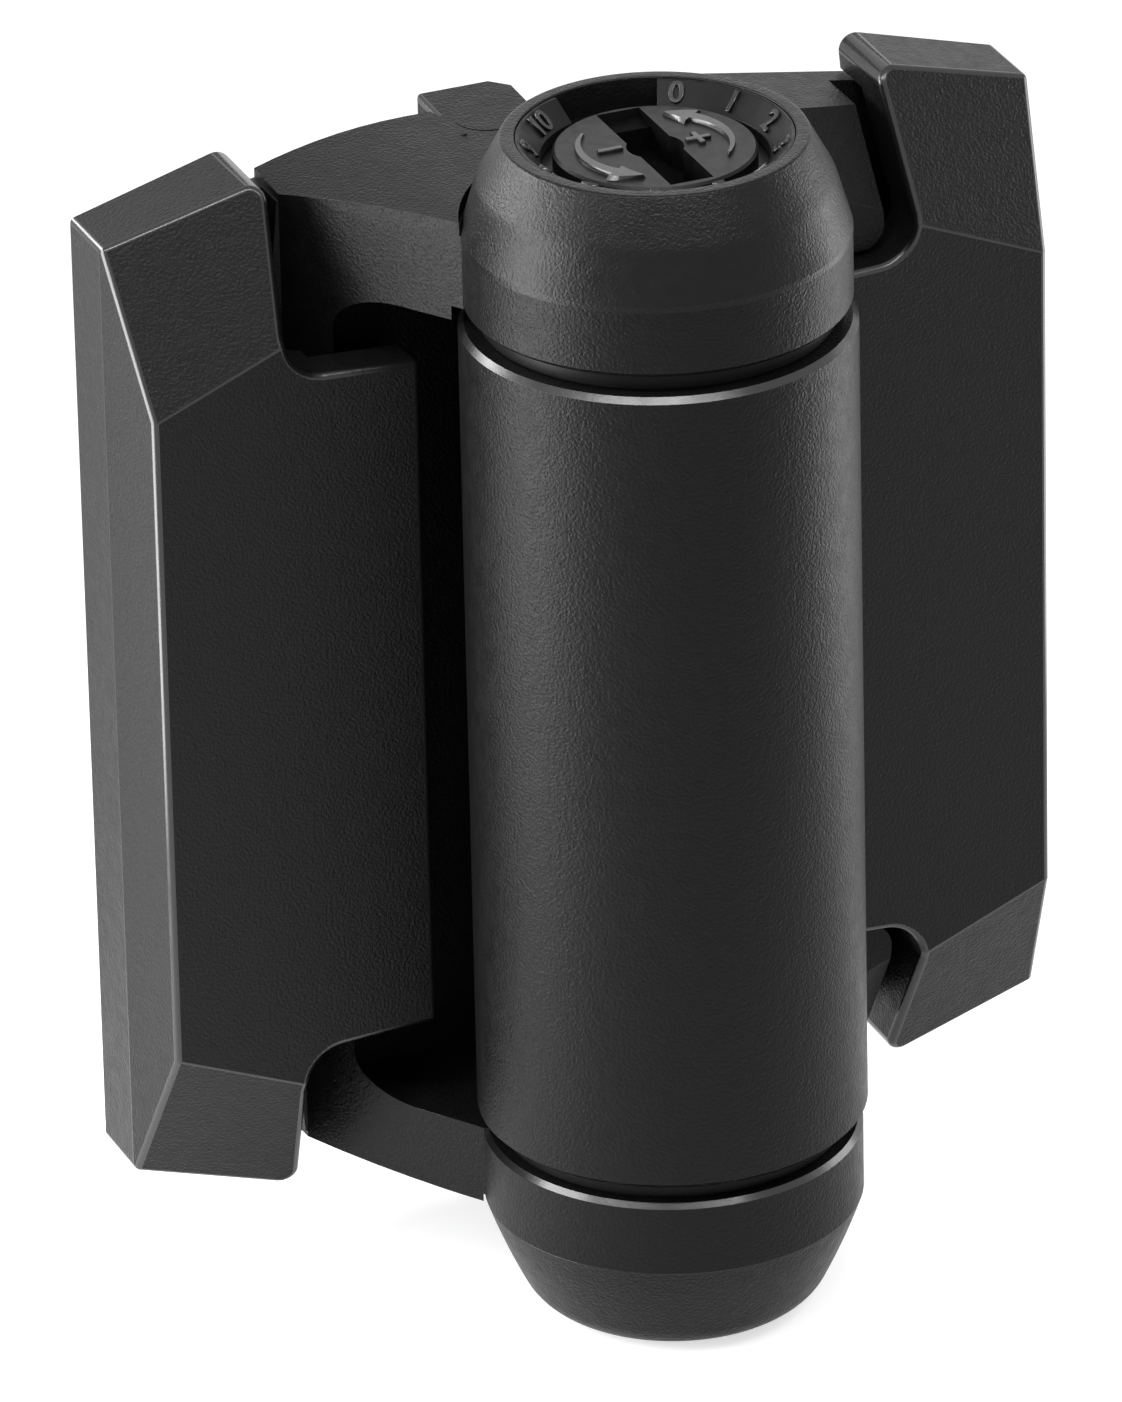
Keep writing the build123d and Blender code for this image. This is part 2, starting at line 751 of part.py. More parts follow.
# Upper cap
spigot_bottom = upper_floor_top + seat_gap
spigot_radius = knuckle_pocket_radius - fit_clearance
ring_seat_radius = face_ring_outer + fit_clearance
ring_ledge_radius = face_ring_outer - face_ring_ledge
dial_hole_radius = dial_radius + dial_hole_clearance
with BuildPart() as upper_cap:
    with BuildSketch(Plane.XZ):
        with BuildLine():
            Polyline(
                (cap_rim_radius, cap_top),
                (ring_seat_radius, cap_top),
                (ring_seat_radius, face_ring_bottom),
                (ring_ledge_radius, face_ring_bottom),
                (ring_ledge_radius, chamber_floor),
                (dial_hole_radius, chamber_floor),
                (dial_hole_radius, web_bottom),
                (cap_spigot_bore, web_bottom),
                (cap_spigot_bore, spigot_bottom),
                (spigot_radius, spigot_bottom),
                (spigot_radius, upper_shoulder),
                (knuckle_radius, upper_shoulder),
            )
            SagittaArc((knuckle_radius, upper_shoulder), (cap_rim_radius, cap_top), -cap_bulge)
        make_face()
    revolve(axis=Axis.Z)
    screw_end = upper_floor_thickness + cap_screw_grip_length + axial_clearance
    add(cap_screw_holes(knuckle_face, 1, screw_end), mode=Mode.SUBTRACT)
upper_cap.part.label = "upper_cap"
export_step(upper_cap.part, "parts/upper_cap.step")

# Lower cap
lower_cap_bottom = lower_shoulder - lower_cap_height
lower_corner_radius = knuckle_radius - lower_cap_slope * lower_cap_height
lower_spigot_top = lower_floor_bottom - seat_gap
lower_cap_floor = lower_cap_bottom + lower_cap_wall
pin_head_bottom = lower_floor_bottom - pin_head_height
with BuildPart() as lower_cap:
    with BuildSketch(Plane.XZ) as cap_section:
        with BuildLine():
            Polyline(
                (knuckle_radius, lower_shoulder),
                (spigot_radius, lower_shoulder),
                (spigot_radius, lower_spigot_top),
                (cap_spigot_bore, lower_spigot_top),
                (cap_spigot_bore, lower_shoulder - cap_screw_grip_length),
                (lower_corner_radius - 2 * lower_cap_wall, lower_cap_floor),
                (0, lower_cap_floor),
                (0, lower_cap_bottom),
                (lower_corner_radius, lower_cap_bottom),
            )
            SagittaArc(
                (lower_corner_radius, lower_cap_bottom),
                (knuckle_radius, lower_shoulder),
                -lower_cap_bulge,
            )
        make_face()
        corner = cap_section.vertices().sort_by_distance((lower_corner_radius, lower_cap_bottom, 0))
        fillet(corner[0], lower_cap_round)
    revolve(axis=Axis.Z)
    with BuildSketch(Plane.XY.offset(lower_cap_floor)):
        Circle(pin_boss_radius)
        Circle(pin_boss_radius - lower_cap_wall, mode=Mode.SUBTRACT)
    extrude(amount=pin_head_bottom - lower_cap_floor)
    screw_end = lower_floor_thickness + cap_screw_grip_length + axial_clearance
    add(cap_screw_holes(-knuckle_face, -1, screw_end), mode=Mode.SUBTRACT)
lower_cap.part.label = "lower_cap"
export_step(lower_cap.part, "parts/lower_cap.step")

# Cap screws
for name, direction in (("upper_cap_screws", 1), ("lower_cap_screws", -1)):
    screws = cap_screws(direction * knuckle_face, direction)
    screws.label = name
    export_step(screws, "parts/" + name + ".step")

# Face ring with its sloping scale band and the window
face_top = cap_top - face_ring_sink
with BuildPart() as face_ring:
    revolve(
        half_section(
            (face_ring_inner, face_ring_bottom),
            (face_ring_outer, face_ring_bottom),
            (face_ring_outer, face_top),
            (face_ring_outer - face_ring_lip, face_top),
            (face_ring_inner, face_top - face_ring_fall),
        ),
        axis=Axis.Z,
    )
    with BuildSketch(Plane.XY.offset(face_ring_bottom)):
        with BuildLine():
            window_reach = 2 * face_ring_outer
            Polyline(
                (0, 0),
                (window_reach * cos(radians(window_start)), window_reach * sin(radians(window_start))),
                (window_reach * cos(radians(window_end)), window_reach * sin(radians(window_end))),
                close=True,
            )
        make_face()
    extrude(amount=face_ring_height, mode=Mode.SUBTRACT)
face_ring.part.label = "face_ring"
export_step(face_ring.part, "parts/face_ring.step")

# Tension dial
socket_flats = hex_flats + 2 * running_clearance
tooth_circle = (dial_hole_radius + dial_flange_radius) / 2
with BuildPart() as tension_dial:
    with BuildSketch(Plane.XY.offset(dial_bottom)):
        Circle(dial_flange_radius)
    extrude(amount=dial_flange_thickness)
    with BuildSketch(Plane.XY.offset(dial_bottom)):
        Circle(dial_radius)
    extrude(amount=dial_top - dial_bottom)
    chamfer(tension_dial.edges().filter_by(GeomType.CIRCLE).sort_by(Axis.Z)[-1], dial_edge_chamfer)
    with BuildSketch(Plane.XY.offset(dial_flange_top)):
        with PolarLocations(tooth_circle, lock_teeth):
            Rectangle(lock_tooth_length, lock_tooth_width)
    extrude(amount=lock_tooth_height)
    with BuildSketch(Plane.XY.offset(indicator_bottom)):
        Circle(dial_radius)
        Circle(dial_radius - indicator_groove, mode=Mode.SUBTRACT)
    extrude(amount=indicator_thickness, mode=Mode.SUBTRACT)
    with BuildSketch(Plane.XY.offset(dial_bottom)):
        RegularPolygon(radius=socket_flats / 2, side_count=6, major_radius=False)
    extrude(amount=socket_depth, mode=Mode.SUBTRACT)
    with BuildSketch(Plane.XY.offset(dial_top)):
        with Locations((0, -slot_offset)):
            Rectangle(slot_width, slot_length)
        Circle(slot_centre_radius)
    extrude(amount=-slot_depth, mode=Mode.SUBTRACT)
    with BuildSketch(Plane.XY.offset(dial_top)):
        with Locations((0, (dial_radius - slot_rim) / 2)):
            Rectangle(slot_width, dial_radius - slot_rim)
    extrude(amount=-slot_ledge_depth, mode=Mode.SUBTRACT)
tension_dial.part.label = "tension_dial"
export_step(tension_dial.part, "parts/tension_dial.step")

# Indicator ring
with BuildPart() as indicator_ring:
    with BuildSketch(Plane.XY.offset(indicator_bottom + fit_clearance)):
        Circle(indicator_outer)
        Circle(dial_radius - indicator_groove + fit_clearance, mode=Mode.SUBTRACT)
    extrude(amount=indicator_thickness - 2 * fit_clearance)
indicator_ring.part.label = "indicator_ring"
export_step(indicator_ring.part, "parts/indicator_ring.step")

# Lock ring
with BuildPart() as lock_ring:
    with BuildSketch(Plane.XY.offset(lock_teeth_bottom + lock_tooth_height)):
        Circle(lock_ring_outer)
        Circle(dial_hole_radius, mode=Mode.SUBTRACT)
    extrude(amount=lock_ring_thickness)
    with BuildSketch(Plane.XY.offset(lock_teeth_bottom)):
        with PolarLocations(tooth_circle, lock_teeth):
            Rectangle(lock_tooth_length, lock_tooth_width)
    extrude(amount=lock_tooth_height)
lock_ring.part.label = "lock_ring"
export_step(lock_ring.part, "parts/lock_ring.step")

# Spring driver
with BuildPart() as spring_driver:
    revolve(
        half_section(
            (0, driver_flange_bottom - hub_length),
            (hub_radius, driver_flange_bottom - hub_length),
            (hub_radius, driver_flange_bottom),
            (driver_flange_radius, driver_flange_bottom),
            (driver_flange_radius, driver_flange_top),
            (driver_radius, driver_flange_top),
            (driver_radius, clip_bottom),
            (clip_groove_radius, clip_bottom),
            (clip_groove_radius, hex_bottom),
            (0, hex_bottom),
        ),
        axis=Axis.Z,
    )
    with BuildSketch(Plane.XY.offset(hex_bottom)):
        RegularPolygon(radius=hex_flats / 2, side_count=6, major_radius=False)
    extrude(amount=hex_height)
    with BuildSketch(Plane.XY.offset(driver_top)):
        Circle(driver_bore_radius)
    extrude(amount=-driver_bore_depth, mode=Mode.SUBTRACT)
    with BuildSketch(Plane.XY.offset(driver_flange_bottom)):
        with Locations((torsion_radius, 0)):
            Rectangle(torsion_wire + 2 * fit_clearance, torsion_wire + 2 * fit_clearance)
    extrude(amount=tang_length + axial_clearance, mode=Mode.SUBTRACT)
spring_driver.part.label = "spring_driver"
export_step(spring_driver.part, "parts/spring_driver.step")

# Driver clip
with BuildPart() as driver_clip:
    with BuildSketch(Plane.XY.offset(clip_bottom + fit_clearance)):
        Circle(clip_outer_radius)
        Circle(clip_groove_radius + fit_clearance, mode=Mode.SUBTRACT)
        with BuildLine():
            mouth_y = 2 * clip_outer_radius * tan(radians(clip_mouth_angle / 2))
            mouth_x = -2 * clip_outer_radius
            Polyline((0, 0), (mouth_x, -mouth_y), (mouth_x, mouth_y), close=True)
        make_face(mode=Mode.SUBTRACT)
    extrude(amount=clip_thickness - 2 * fit_clearance)
driver_clip.part.label = "driver_clip"
export_step(driver_clip.part, "parts/driver_clip.step")

# Bushes
bush_radius = barrel_bore_radius - fit_clearance
with BuildPart() as upper_bush:
    revolve(
        half_section(
            (driver_radius + running_clearance, barrel_top - bush_length),
            (bush_radius, barrel_top - bush_length),
            (bush_radius, barrel_top),
            (bush_flange_radius, barrel_top),
            (bush_flange_radius, knuckle_face - upper_bush_gap),
            (driver_radius + running_clearance, knuckle_face - upper_bush_gap),
        ),
        axis=Axis.Z,
    )
upper_bush.part.label = "upper_bush"
export_step(upper_bush.part, "parts/upper_bush.step")

with BuildPart() as lower_bush:
    revolve(
        half_section(
            (pin_radius + running_clearance, -knuckle_face),
            (bush_flange_radius, -knuckle_face),
            (bush_flange_radius, -barrel_top),
            (lower_bush_radius, -barrel_top),
            (lower_bush_radius, -barrel_top + lower_bush_length),
            (pin_radius + running_clearance, -barrel_top + lower_bush_length),
        ),
        axis=Axis.Z,
    )
lower_bush.part.label = "lower_bush"
export_step(lower_bush.part, "parts/lower_bush.step")

# Pivot pin
pin_top = -knuckle_face + pin_length - lower_floor_thickness
with BuildPart() as pivot_pin:
    revolve(
        half_section(
            (0, pin_head_bottom),
            (pin_head_radius, pin_head_bottom),
            (pin_head_radius, lower_floor_bottom),
            (pin_radius, lower_floor_bottom),
            (pin_radius, pin_top - pin_point_chamfer),
            (pin_radius - pin_point_chamfer, pin_top),
            (0, pin_top),
        ),
        axis=Axis.Z,
    )
pivot_pin.part.label = "pivot_pin"
export_step(pivot_pin.part, "parts/pivot_pin.step")

# Spring anchor
with BuildPart() as spring_anchor:
    revolve(
        half_section(
            (lower_bush_radius + fit_clearance, -barrel_top),
            (bush_radius, -barrel_top),
            (bush_radius, anchor_top),
            (hub_radius, anchor_top),
            (hub_radius, anchor_top + hub_length),
            (pin_radius + running_clearance, anchor_top + hub_length),
            (pin_radius + running_clearance, -barrel_top + lower_bush_length + seat_gap),
            (lower_bush_radius + fit_clearance, -barrel_top + lower_bush_length + seat_gap),
        ),
        axis=Axis.Z,
    )
    with BuildSketch(Plane.XY.offset(-barrel_top)):
        Rectangle(key_reach - 2 * fit_clearance, anchor_key_width - 2 * fit_clearance)
        Circle(barrel_bore_radius - anchor_key_height, mode=Mode.SUBTRACT)
    extrude(amount=anchor_length)
    with BuildSketch(Plane.XY.offset(anchor_top)):
        with Locations((torsion_radius, 0)):
            Rectangle(torsion_wire + 2 * fit_clearance, torsion_wire + 2 * fit_clearance)
    extrude(amount=-tang_length - axial_clearance, mode=Mode.SUBTRACT)
spring_anchor.part.label = "spring_anchor"
export_step(spring_anchor.part, "parts/spring_anchor.step")

# Springs
torsion_spring = coil(
    torsion_radius,
    torsion_wire,
    anchor_top + axial_clearance,
    driver_flange_bottom - axial_clearance,
    torsion_turns,
    tang_length,
    tang_length,
)
torsion_spring.label = "torsion_spring"
export_step(torsion_spring, "parts/torsion_spring.step")

dial_spring = coil(
    dial_spring_radius,
    dial_spring_wire,
    driver_top - driver_bore_depth,
    dial_bottom + socket_depth,
    dial_spring_turns,
    0,
    0,
)
dial_spring.label = "dial_spring"
export_step(dial_spring, "parts/dial_spring.step")
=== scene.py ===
from math import cos, pi, radians, sin

import bmesh
import bpy
import numpy as np
from mathutils import Matrix, Vector


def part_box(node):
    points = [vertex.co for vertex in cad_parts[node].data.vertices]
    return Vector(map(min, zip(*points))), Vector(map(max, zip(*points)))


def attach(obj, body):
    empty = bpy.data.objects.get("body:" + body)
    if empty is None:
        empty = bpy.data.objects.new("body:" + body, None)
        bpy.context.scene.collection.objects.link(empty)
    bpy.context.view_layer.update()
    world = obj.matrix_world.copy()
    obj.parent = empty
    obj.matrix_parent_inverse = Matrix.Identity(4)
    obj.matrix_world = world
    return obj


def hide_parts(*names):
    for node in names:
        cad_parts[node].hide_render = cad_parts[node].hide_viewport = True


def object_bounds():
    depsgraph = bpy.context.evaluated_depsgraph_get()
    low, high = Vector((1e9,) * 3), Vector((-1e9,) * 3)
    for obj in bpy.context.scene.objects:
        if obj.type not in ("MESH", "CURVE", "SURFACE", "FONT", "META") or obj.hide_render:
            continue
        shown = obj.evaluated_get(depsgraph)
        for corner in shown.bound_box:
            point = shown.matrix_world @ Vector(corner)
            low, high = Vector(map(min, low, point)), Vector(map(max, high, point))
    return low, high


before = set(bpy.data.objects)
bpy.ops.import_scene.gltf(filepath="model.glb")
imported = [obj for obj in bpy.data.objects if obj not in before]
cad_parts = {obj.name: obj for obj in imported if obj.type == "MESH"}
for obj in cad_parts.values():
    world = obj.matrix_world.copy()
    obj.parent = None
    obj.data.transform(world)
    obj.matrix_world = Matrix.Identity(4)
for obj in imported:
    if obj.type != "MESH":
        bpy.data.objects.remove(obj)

cad_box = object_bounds()
MM = 0.001

# Camera. It looks down on the hinge from the left of the post leaf, as in the photograph:
# a long lens from about 1.6 m, turned a little about its own line of sight.
def add_object(name, data):
    """Adds an object at the origin that shows the given mesh, curve, lamp or camera."""
    holder = bpy.data.objects.new(name, data)
    bpy.context.scene.collection.objects.link(holder)
    return holder


photo_height = 1402
camera_azimuth = radians(-22.29)
camera_elevation = radians(26.2)
camera_roll = radians(-1.27)
camera_distance = 1601.4 * MM
camera_target = Vector((-13.37, 0, 4.25)) * MM
focal_pixels = 13559
sensor_height = 36.0

back = Vector((
    sin(camera_azimuth) * cos(camera_elevation),
    -cos(camera_azimuth) * cos(camera_elevation),
    sin(camera_elevation),
))
level = Vector((cos(camera_azimuth), sin(camera_azimuth), 0))
upright = back.cross(level)
right = cos(camera_roll) * level + sin(camera_roll) * upright
up = cos(camera_roll) * upright - sin(camera_roll) * level
camera_data = bpy.data.cameras.new("camera")
camera_data.sensor_fit = "VERTICAL"
camera_data.sensor_height = sensor_height
camera_data.lens = focal_pixels * sensor_height / photo_height
camera_data.clip_end = 20.0
camera = add_object("camera", camera_data)
turn = Matrix((right, up, back)).transposed().to_4x4()
camera.matrix_world = Matrix.Translation(camera_target + back * camera_distance) @ turn
bpy.context.scene.camera = camera
bpy.context.scene.view_settings.view_transform = "Standard"


# Floor and studio. A plain pale sheet lies under the hinge in a white room. Camera, glossy and
# transmitted rays see both as white, and the hinge's shadow stays on the sheet. Five strip lamps,
# which the camera doesn't see, draw the bright bands and the thin lines on the edges.
def linear(hex_colour):
    """Turns an sRGB hex colour such as 1b1b1c into linear red, green, blue and alpha."""
    values = np.array([int(hex_colour[i:i + 2], 16) for i in (0, 2, 4)]) / 255
    values = np.where(values <= 0.04045, values / 12.92, ((values + 0.055) / 1.055) ** 2.4)
    return (*values.tolist(), 1.0)


def add_node(tree, kind, inputs=None, links=None, **settings):
    """Adds one node, sets its properties and input values, and links inputs to other sockets."""
    node = tree.nodes.new(kind)
    for name, value in settings.items():
        setattr(node, name, value)
    for name, value in (inputs or {}).items():
        node.inputs[name].default_value = value
    for name, socket in (links or {}).items():
        tree.links.new(socket, node.inputs[name])
    return node


def seen_rays(tree):
    """1 for camera, glossy and transmitted rays and 0 for the rays that only light things."""
    path = add_node(tree, "ShaderNodeLightPath")
    reflected = add_node(
        tree, "ShaderNodeMath", operation="ADD", use_clamp=True,
        links={0: path.outputs["Is Camera Ray"], 1: path.outputs["Is Glossy Ray"]},
    )
    seen = add_node(
        tree, "ShaderNodeMath", operation="ADD", use_clamp=True,
        links={0: reflected.outputs[0], 1: path.outputs["Is Transmission Ray"]},
    )
    return seen.outputs[0]


floor_half = 4.0
floor_z = cad_box[0][2]
floor_colour = "d2d2d2"
floor_glow = 0.62
floor_mesh = bpy.data.meshes.new("floor")
floor_mesh.from_pydata(
    [
        (-floor_half, -floor_half, floor_z),
        (floor_half, -floor_half, floor_z),
        (floor_half, floor_half, floor_z),
        (-floor_half, floor_half, floor_z),
    ],
    [],
    [(0, 1, 2, 3)],
)
floor = add_object("floor", floor_mesh)
floor_paper = bpy.data.materials.new("studio_floor_paper")
floor_paper.use_nodes = True
tree = floor_paper.node_tree
tree.nodes.clear()
paper = add_node(tree, "ShaderNodeBsdfDiffuse", {"Color": linear(floor_colour)})
glow_strength = add_node(
    tree, "ShaderNodeMath", {1: floor_glow}, {0: seen_rays(tree)}, operation="MULTIPLY"
)
glow = add_node(tree, "ShaderNodeEmission", links={"Strength": glow_strength.outputs[0]})
both = add_node(tree, "ShaderNodeAddShader", links={0: paper.outputs[0], 1: glow.outputs[0]})
add_node(tree, "ShaderNodeOutputMaterial", links={"Surface": both.outputs[0]})
floor_mesh.materials.append(floor_paper)

# What the room gives all rays, and what seen rays get on top, which makes 1 together, or white.
room_light = 0.6
room_seen = 0.4
world = bpy.data.worlds.new("studio")
world.use_nodes = True
bpy.context.scene.world = world
tree = world.node_tree
room = tree.nodes["Background"]
room.inputs["Color"].default_value = linear("ffffff")
room_strength = add_node(
    tree, "ShaderNodeMath", {1: room_seen, 2: room_light}, {0: seen_rays(tree)},
    operation="MULTIPLY_ADD",
)
tree.links.new(room_strength.outputs[0], room.inputs["Strength"])


def strip_lamp(name, azimuth, distance, low, high, width, radiance):
    """Adds an upright rectangular lamp that faces the pivot.

    Azimuth 0 stands at -Y and 90 at +X, in degrees, and lengths are in metres. The lamp's power is
    pi times its radiance times its area, so its size doesn't change how bright it looks.
    """
    lamp = bpy.data.lights.new(name, "AREA")
    lamp.shape = "RECTANGLE"
    lamp.size = width
    lamp.size_y = high - low
    lamp.energy = pi * radiance * width * (high - low)
    holder = add_object(name, lamp)
    direction = Vector((sin(radians(azimuth)), -cos(radians(azimuth)), 0))
    holder.location = direction * distance + Vector((0, 0, (low + high) / 2))
    holder.rotation_euler = direction.to_track_quat("Z", "Y").to_euler()
    holder.visible_camera = False
    return holder


# The left lamp lights the band down each round part and the left side faces, and the cap lamp puts
# the highlight on the upper cone. The right lamp edges the right side, and the back one lifts the
# top faces. The top one hangs above the front, where rounded upper edges mirror it.
lamp_foot = floor_z + 0.012
strip_lamp("lamp_left", -97, 0.17, lamp_foot, 0.14, 0.10, 11.5)
strip_lamp("lamp_cap", -128, 0.17, 0.09, 0.15, 0.12, 13)
strip_lamp("lamp_right", 92, 0.16, lamp_foot, 0.10, 0.06, 5)
strip_lamp("lamp_back", 158, 0.30, 0.06, 0.24, 0.24, 0.6)
lamp_top = strip_lamp("lamp_top", -25, 0.14, 0.275, 0.305, 0.40, 20)
lamp_top.rotation_euler = lamp_top.location.to_track_quat("Z", "Y").to_euler()


# Leaves. Each leaf is one moulding of black glass-filled nylon: the gate leaf carries the long
# barrel, and the post leaf the two arms and the end knuckles. The mould was spark-eroded, which
# gives a fine pebble grain, and its corners leave every edge of the moulding slightly round.
def new_material(name):
    """Adds a material and returns it with its tree, its shader and its Object coordinates."""
    material = bpy.data.materials.new(name)
    material.use_nodes = True
    tree = material.node_tree
    place = add_node(tree, "ShaderNodeTexCoord").outputs["Object"]
    return material, tree, tree.nodes["Principled BSDF"], place


def pebbled_nylon(name, colour, roughness, grain, depth, shine, second_colour="0e0e0f"):
    """Black plastic from a spark-eroded or polished mould. Grain and depth are in mm.

    Two noises, one as wide as the grain and one five times as wide, add up to a height map of the
    given depth. The wide one also shifts the roughness and the colour a little, towards the second
    colour, as cooling plastic does.
    """
    wave_width, wave_height, roughness_shift = 5, 0.25, 0.04
    material, tree, shader, place = new_material(name)
    pebbles = add_node(
        tree, "ShaderNodeTexNoise",
        {"Scale": 1 / (grain * MM), "Detail": 2.0, "Roughness": 0.55}, {"Vector": place},
    )
    waves = add_node(
        tree, "ShaderNodeTexNoise",
        {"Scale": 1 / (wave_width * grain * MM), "Detail": 1.0}, {"Vector": place},
    )
    height = add_node(
        tree, "ShaderNodeMath", {1: wave_height},
        {0: waves.outputs["Fac"], 2: pebbles.outputs["Fac"]}, operation="MULTIPLY_ADD",
    )
    bump = add_node(
        tree, "ShaderNodeBump", {"Strength": 1.0, "Distance": depth * MM},
        {"Height": height.outputs[0]},
    )
    spread = add_node(
        tree, "ShaderNodeMapRange",
        {
            "From Min": 0.3, "From Max": 0.7,
            "To Min": roughness - roughness_shift, "To Max": roughness + roughness_shift,
        },
        {"Value": waves.outputs["Fac"]},
    )
    tint = add_node(
        tree, "ShaderNodeMixRGB",
        {"Color1": linear(colour), "Color2": linear(second_colour)}, {"Fac": waves.outputs["Fac"]},
    )
    tree.links.new(tint.outputs[0], shader.inputs["Base Color"])
    tree.links.new(spread.outputs[0], shader.inputs["Roughness"])
    tree.links.new(bump.outputs[0], shader.inputs["Normal"])
    shader.inputs["IOR"].default_value = 1.5
    shader.inputs["Specular IOR Level"].default_value = shine
    return material


def moulding_plan(mesh, edge_radius, wide):
    """Finds the small rounds that a mesh has and how far each of its sharp edges can be rounded.

    Across each edge, the angle between its two faces is divided by the distance of their centres at
    right angles to the edge. That is the curvature there, and a face belongs to a round where it's
    above 1 / (2 mm) and the face is narrow: its width is twice its area over its perimeter. An edge
    that turns by more than 30 degrees is a corner of its own, but a face narrower still that has a
    corner under 60 degrees is a chamfer and counts as a round. A sharp edge gets the edge radius,
    or the wide one in a wide box, but no more than a third of its narrower face's width and of the
    edges that meet it. Returns a True or False for each face and a radius in mm for each edge.
    """
    curvature, corner, chamfer_corner = 0.5, radians(30), radians(60)
    widest_round, widest_chamfer, edge_share = 1.0, 0.7, 3
    faces, loops, edges = mesh.polygons, mesh.loops, mesh.edges
    normal, centre = np.empty((len(faces), 3)), np.empty((len(faces), 3))
    area = np.empty(len(faces))
    faces.foreach_get("normal", normal.ravel())
    faces.foreach_get("center", centre.ravel())
    faces.foreach_get("area", area)
    sides, edge = np.empty(len(faces), int), np.empty(len(loops), int)
    faces.foreach_get("loop_total", sides)
    loops.foreach_get("edge_index", edge)
    ends, place = np.empty((len(edges), 2), int), np.empty((len(mesh.vertices), 3))
    edges.foreach_get("vertices", ends.ravel())
    mesh.vertices.foreach_get("co", place.ravel())
    sharp = np.empty(len(edges), bool)
    mesh.attributes["sharp_edge"].data.foreach_get("value", sharp)
    centre, place, area = centre / MM, place / MM, area / MM ** 2
    owner = np.repeat(np.arange(len(faces)), sides)
    first, second = owner[np.argsort(edge, kind="stable")].reshape(-1, 2).T
    line = place[ends[:, 1]] - place[ends[:, 0]]
    length = np.linalg.norm(line, axis=1)
    line /= length[:, None]
    width = 2 * area / np.bincount(owner, length[edge])
    angle = np.arccos(np.clip((normal[first] * normal[second]).sum(1), -1, 1))
    gap = centre[second] - centre[first]
    gap -= (gap * line).sum(1)[:, None] * line
    gap = np.maximum(np.linalg.norm(gap, axis=1), 1e-3)
    tight = (angle > curvature * gap) & (angle < corner)
    rounds = np.zeros(len(faces), bool)
    rounds[first[tight]] = rounds[second[tight]] = True
    slanted = (angle > corner) & (angle < chamfer_corner)
    chamfers = np.zeros(len(faces), bool)
    chamfers[first[slanted]] = chamfers[second[slanted]] = True
    rounds |= chamfers & (width < widest_chamfer)
    radius = np.full(len(edges), edge_radius)
    for wide_radius, low, high in wide:
        inside = ((place[ends] >= low) & (place[ends] <= high)).all(axis=(1, 2))
        radius[inside] = wide_radius
    shortest = np.full(len(place), np.inf)
    np.minimum.at(shortest, ends[~sharp].ravel(), np.repeat(length[~sharp], 2))
    room = np.minimum(np.minimum(width[first], width[second]), shortest[ends].min(axis=1))
    radius = np.where(sharp, np.minimum(radius, room / edge_share), 0)
    return rounds & (width < widest_round), radius


def rounded_moulding(node, body, edge_radius, material, edge_material, wide=()):
    """A CAD node's own shape as a moulding with rounded edges.

    The node's triangles are merged and its flat faces made whole. Each edge that turns by more than
    the sharp angle becomes an arc of the given radius, in a material of its own. Each entry of wide
    is a radius and the lowest and highest corner of a box in mm, and the edges in that box get it.
    """
    same_point, flat_angle, sharp_angle = 0.002 * MM, radians(0.5), radians(25)
    form = bmesh.new()
    form.from_mesh(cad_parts[node].data)
    bmesh.ops.remove_doubles(form, verts=form.verts, dist=same_point)
    bmesh.ops.dissolve_limit(form, angle_limit=flat_angle, verts=form.verts, edges=form.edges)
    mesh = bpy.data.meshes.new(node + "_moulding")
    form.to_mesh(mesh)
    form.free()
    if "custom_normal" in mesh.attributes:
        mesh.attributes.remove(mesh.attributes["custom_normal"])
    mesh.shade_smooth()
    mesh.set_sharp_from_angle(angle=sharp_angle)
    mesh.materials.clear()
    mesh.materials.append(material)
    mesh.materials.append(edge_material)
    rounds, radius = moulding_plan(mesh, edge_radius, wide)
    mesh.polygons.foreach_set("material_index", rounds.astype(np.int32))
    weights = mesh.attributes.new("bevel_weight_edge", "FLOAT", "EDGE")
    weights.data.foreach_set("value", (radius / radius.max()).astype(np.float32))
    piece = add_object(node + "_moulding", mesh)
    edges = piece.modifiers.new("rounded_edges", "BEVEL")
    edges.width = radius.max() * MM
    edges.segments = 4
    edges.limit_method = "WEIGHT"
    edges.material = 1
    corners = piece.modifiers.new("closed_corners", "WELD")
    corners.mode = "CONNECTED"
    corners.merge_threshold = 2 * same_point
    flats = piece.modifiers.new("flat_faces", "WEIGHTED_NORMAL")
    flats.keep_sharp = True
    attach(piece, body)
    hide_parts(node)
    return piece


# The spark-eroded skin breaks every reflection into a dull grey sheen.
leaf_nylon = pebbled_nylon(
    "glass_filled_nylon_spark_eroded", "0a0a0b", 0.38, 0.38, 0.14, 0.12, "101011"
)
# Hands and tools wear the skin off the edges, so each one catches a thin bright line.
edge_nylon = pebbled_nylon("nylon_rubbed_edge", "121213", 0.24, 0.8, 0.01, 0.6)
rounded_moulding("gate_leaf", "gate_leaf", 0.25, leaf_nylon, edge_nylon)
upper_arm_round = (2.2, (-36, 7, 62.5), (-21.8, 27.6, 65.1))
lower_arm_round = (1.0, (-42, 5, -53.5), (-21.5, 28.5, -40))
rounded_moulding(
    "post_leaf", "post_leaf", 0.4, leaf_nylon, edge_nylon,
    (upper_arm_round, lower_arm_round),
)
rounded_moulding("post_alignment_leg", "post_leaf", 0.5, leaf_nylon, edge_nylon)
rounded_moulding("gate_alignment_leg", "gate_leaf", 0.5, leaf_nylon, edge_nylon)

